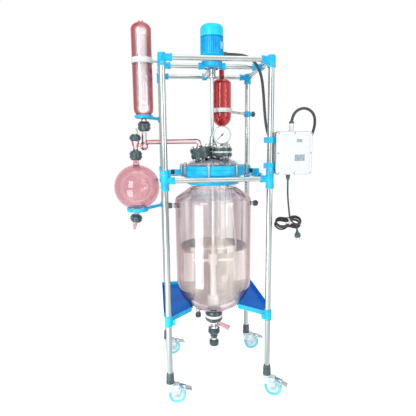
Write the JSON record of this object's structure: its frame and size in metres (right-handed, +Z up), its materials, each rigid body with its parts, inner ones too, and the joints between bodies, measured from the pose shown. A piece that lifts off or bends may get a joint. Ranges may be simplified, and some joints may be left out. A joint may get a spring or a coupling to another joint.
{
  "type": "jacketed glass reactor",
  "caption": "Wheeled tube-frame glass reactor with a jacketed stirred vessel, overhead motor, condenser, receiver flask, dropping funnel, control box and drain valve.",
  "frame": {"origin": "on the floor under the stirrer shaft", "axes": "+Z up, +X to the right, +Y to the back"},
  "size_m": [1.1313, 0.6394, 2.131],
  "materials": {
    "stainless_steel": "satin brushed tube",
    "blue_paint": "gloss paint on castings",
    "white_ptfe": "waxy white",
    "black_plastic": "moulded, low sheen",
    "clear_glass": "clear blown glass",
    "black_enamel": "matt",
    "black_rubber": "soft, matt",
    "zinc_plate": "bright zinc",
    "pale_tread": "smooth tread",
    "white_enamel": "fine textured powder coat",
    "grey_conduit": "ribbed",
    "grey_lead": "smooth sheath"
  },
  "bodies": {
    "frame": {"posts": "stainless_steel", "frame_rails": "stainless_steel", "frame_fittings": "blue_paint", "motor_mount": "blue_paint", "motor_housing": "blue_paint", "motor_cap": "blue_paint", "shaft_seal": "stainless_steel", "glass_lid": "clear_glass", "neck_couplings": "black_plastic", "ptfe_fittings": "white_ptfe", "dip_tube": "clear_glass", "temperature_probe": "white_ptfe", "gauge_case": "stainless_steel", "clamp_ring_upper": "blue_paint", "clamp_ring_lower": "blue_paint", "clamp_bolts": "stainless_steel", "ring_carriers": "blue_paint", "carrier_bushes": "black_rubber", "vessel_jacket": "clear_glass", "inner_vessel": "clear_glass", "flange_gasket": "white_ptfe", "joint_clamps": "black_plastic", "drain_coupling": "black_plastic", "drain_body": "clear_glass", "belly_trays": "blue_paint", "tray_trims": "black_rubber", "caster_sockets": "black_plastic", "box_shell": "white_enamel", "box_cover": "white_enamel", "cable_glands": "black_plastic", "power_conduit": "grey_conduit", "mains_lead": "grey_lead", "lead_hank": "grey_lead", "mains_plug": "black_plastic", "condenser": "clear_glass", "still_head": "clear_glass", "receiver_flask": "clear_glass", "support_arms": "blue_paint", "dropping_funnel": "clear_glass"},
    "caster_fork_front_left": {"caster_fork_front_left": "zinc_plate"},
    "caster_wheel_front_left": {"caster_wheel_front_left": "pale_tread"},
    "caster_pedal_front_left": {"caster_pedal_front_left": "zinc_plate"},
    "caster_fork_front_right": {"caster_fork_front_right": "zinc_plate"},
    "caster_wheel_front_right": {"caster_wheel_front_right": "pale_tread"},
    "caster_pedal_front_right": {"caster_pedal_front_right": "zinc_plate"},
    "caster_fork_back_right": {"caster_fork_back_right": "zinc_plate"},
    "caster_wheel_back_right": {"caster_wheel_back_right": "pale_tread"},
    "caster_pedal_back_right": {"caster_pedal_back_right": "zinc_plate"},
    "caster_fork_back_left": {"caster_fork_back_left": "zinc_plate"},
    "caster_wheel_back_left": {"caster_wheel_back_left": "pale_tread"},
    "caster_pedal_back_left": {"caster_pedal_back_left": "zinc_plate"},
    "stirrer": {"drive_coupling": "stainless_steel", "stirrer_shaft": "stainless_steel", "stirrer_paddle": "white_ptfe"},
    "gauge_needle": {"gauge_needle": "black_enamel"},
    "drain_plunger": {"drain_plunger": "white_ptfe"},
    "drain_handwheel": {"drain_handwheel": "black_plastic"},
    "take_off_knob": {"take_off_knob": "white_ptfe"},
    "support_knob": {"support_knob": "black_plastic"},
    "funnel_key": {"funnel_key": "white_ptfe"}
  },
  "joints": [
    {"name": "swivel_front_left", "type": "hinge", "parent": "frame", "child": "caster_fork_front_left", "pos_m": [-0.28, -0.195, 0.118], "axis": [0, 0, 1], "continuous": true},
    {"name": "wheel_front_left", "type": "hinge", "parent": "caster_fork_front_left", "child": "caster_wheel_front_left", "pos_m": [-0.24205, -0.19699, 0.05], "axis": [0.0523, 0.9986, 0], "continuous": true},
    {"name": "brake_front_left", "type": "hinge", "parent": "caster_fork_front_left", "child": "caster_pedal_front_left", "pos_m": [-0.23207, -0.19751, 0.095], "axis": [-0.0523, -0.9986, 0], "range_deg": [0, 14]},
    {"name": "swivel_front_right", "type": "hinge", "parent": "frame", "child": "caster_fork_front_right", "pos_m": [0.28, -0.195, 0.118], "axis": [0, 0, 1], "continuous": true},
    {"name": "wheel_front_right", "type": "hinge", "parent": "caster_fork_front_right", "child": "caster_wheel_front_right", "pos_m": [0.31291, -0.214, 0.05], "axis": [0.5, 0.866, 0], "continuous": true},
    {"name": "brake_front_right", "type": "hinge", "parent": "caster_fork_front_right", "child": "caster_pedal_front_right", "pos_m": [0.32157, -0.219, 0.095], "axis": [-0.5, -0.866, 0], "range_deg": [0, 14]},
    {"name": "swivel_back_right", "type": "hinge", "parent": "frame", "child": "caster_fork_back_right", "pos_m": [0.28, 0.323, 0.118], "axis": [0, 0, 1], "continuous": true},
    {"name": "wheel_back_right", "type": "hinge", "parent": "caster_fork_back_right", "child": "caster_wheel_back_right", "pos_m": [0.318, 0.323, 0.05], "axis": [0, 1, 0], "continuous": true},
    {"name": "brake_back_right", "type": "hinge", "parent": "caster_fork_back_right", "child": "caster_pedal_back_right", "pos_m": [0.328, 0.323, 0.095], "axis": [0, -1, 0], "range_deg": [0, 14]},
    {"name": "swivel_back_left", "type": "hinge", "parent": "frame", "child": "caster_fork_back_left", "pos_m": [-0.28, 0.323, 0.118], "axis": [0, 0, 1], "continuous": true},
    {"name": "wheel_back_left", "type": "hinge", "parent": "caster_fork_back_left", "child": "caster_wheel_back_left", "pos_m": [-0.24283, 0.3309, 0.05], "axis": [-0.2079, 0.9781, 0], "continuous": true},
    {"name": "brake_back_left", "type": "hinge", "parent": "caster_fork_back_left", "child": "caster_pedal_back_left", "pos_m": [-0.23305, 0.33298, 0.095], "axis": [0.2079, -0.9781, 0], "range_deg": [0, 14]},
    {"name": "stirrer_spin", "type": "hinge", "parent": "frame", "child": "stirrer", "pos_m": [0, 0, 1.6], "axis": [0, 0, 1], "continuous": true},
    {"name": "gauge_reading", "type": "hinge", "parent": "frame", "child": "gauge_needle", "pos_m": [0.041, -0.08, 1.494], "axis": [-0.1719, -0.9851, 0], "range_deg": [-270, 0]},
    {"name": "drain_turn", "type": "hinge", "parent": "frame", "child": "drain_handwheel", "pos_m": [0, 0, 0.24], "axis": [0, 0, 1], "range_deg": [0, 1080]},
    {"name": "drain_lift", "type": "slide", "parent": "frame", "child": "drain_plunger", "axis": [0, 0, 1], "range_m": [-0.009, 0]},
    {"name": "take_off_turn", "type": "hinge", "parent": "frame", "child": "take_off_knob", "pos_m": [-0.438, 0.118, 1.52], "axis": [0, 0, 1], "range_deg": [0, 720]},
    {"name": "support_screw", "type": "hinge", "parent": "frame", "child": "support_knob", "pos_m": [0.315, 0.323, 1.64], "axis": [1, 0, 0], "range_deg": [0, 720]},
    {"name": "funnel_tap", "type": "hinge", "parent": "frame", "child": "funnel_key", "pos_m": [0.07, 0.092, 1.5], "axis": [1, 0, 0], "range_deg": [0, 90]}
  ],
  "couplings": [
    {"joint": "drain_lift", "follows": "drain_turn", "m_per_rad": -0.00047746}
  ]
}
